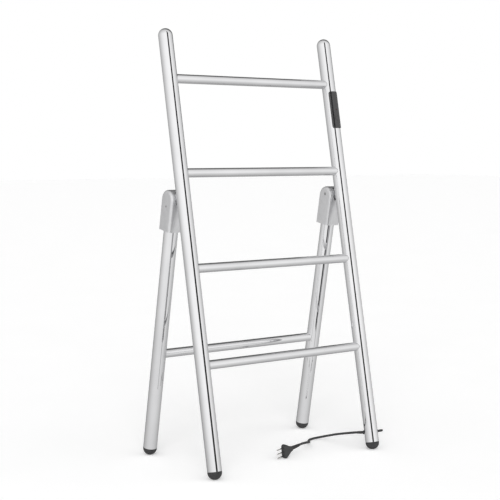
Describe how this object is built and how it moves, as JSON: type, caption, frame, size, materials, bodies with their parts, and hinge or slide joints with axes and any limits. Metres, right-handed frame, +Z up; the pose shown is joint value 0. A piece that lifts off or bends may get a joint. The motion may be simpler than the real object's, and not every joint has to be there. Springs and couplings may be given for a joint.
{
  "type": "towel warmer rack",
  "caption": "Free-standing electric towel warmer rack: chromed ladder frame with round rungs, hinged rear legs with a crossbar, side control and a mains cord.",
  "frame": {"origin": "on the floor, midway between the front and rear feet and between the stiles", "axes": "+Z up, +Y towards the rear legs, +X towards the stile with the control"},
  "size_m": [0.6312, 0.3702, 1.2079],
  "materials": {
    "chrome": "bright polished plating",
    "satin_metal": "satin silver",
    "steel": "plain zinc-plated",
    "rubber": "matt black, fine grain",
    "black_plastic": "satin black",
    "heater_sheath": "rust-red silicone rubber",
    "board_green": "green solder mask",
    "cord_jacket": "satin black",
    "plated_brass": "bright nickel-plated",
    "white_plastic": "off-white",
    "lens_plastic": "clear red"
  },
  "bodies": {
    "front_frame": {"stile_left": "chrome", "stile_right": "chrome", "rung_1": "chrome", "rung_2": "chrome", "rung_3": "chrome", "rung_4": "chrome", "foot_front_left": "rubber", "foot_front_right": "rubber", "hinge_lug_left": "steel", "hinge_lug_right": "steel", "hinge_pin_left": "satin_metal", "hinge_pin_right": "satin_metal", "hinge_washer_left_inner": "white_plastic", "hinge_washer_left_outer": "white_plastic", "hinge_washer_right_inner": "white_plastic", "hinge_washer_right_outer": "white_plastic", "heater_stile_left": "heater_sheath", "heater_stile_right": "heater_sheath", "heater_rung_1": "heater_sheath", "heater_rung_2": "heater_sheath", "heater_rung_3": "heater_sheath", "heater_rung_4": "heater_sheath", "control_cover": "black_plastic", "status_lens": "lens_plastic", "control_board": "board_green", "button_switch": "black_plastic", "terminal_block": "white_plastic", "thermal_cutout": "steel", "wiring_loom": "white_plastic", "cord_gland": "rubber", "cord_grip": "rubber", "power_cord": "cord_jacket", "plug_body": "black_plastic", "plug_relief": "steel", "pin_sleeve_1": "black_plastic", "pin_sleeve_2": "black_plastic", "pin_sleeve_3": "black_plastic", "plug_pin_1": "plated_brass", "plug_pin_2": "plated_brass", "plug_pin_3": "plated_brass"},
    "rear_frame": {"leg_left": "chrome", "leg_right": "chrome", "crossbar": "chrome", "foot_rear_left": "rubber", "foot_rear_right": "rubber", "hinge_housing_left": "satin_metal", "hinge_housing_right": "satin_metal", "leg_screw_left": "steel", "leg_screw_right": "steel"},
    "control_button": {"control_button": "black_plastic"}
  },
  "joints": [
    {"name": "rear_frame_fold", "type": "hinge", "parent": "front_frame", "child": "rear_frame", "pos_m": [0, 0.02883, 0.74402], "axis": [-1, 0, 0], "range_deg": [0, 20]},
    {"name": "button_press", "type": "slide", "parent": "front_frame", "child": "control_button", "axis": [0, 0.9805, -0.1965], "range_m": [0, 0.001], "stiffness_N_per_m": 300, "springref_m": -0.002}
  ]
}
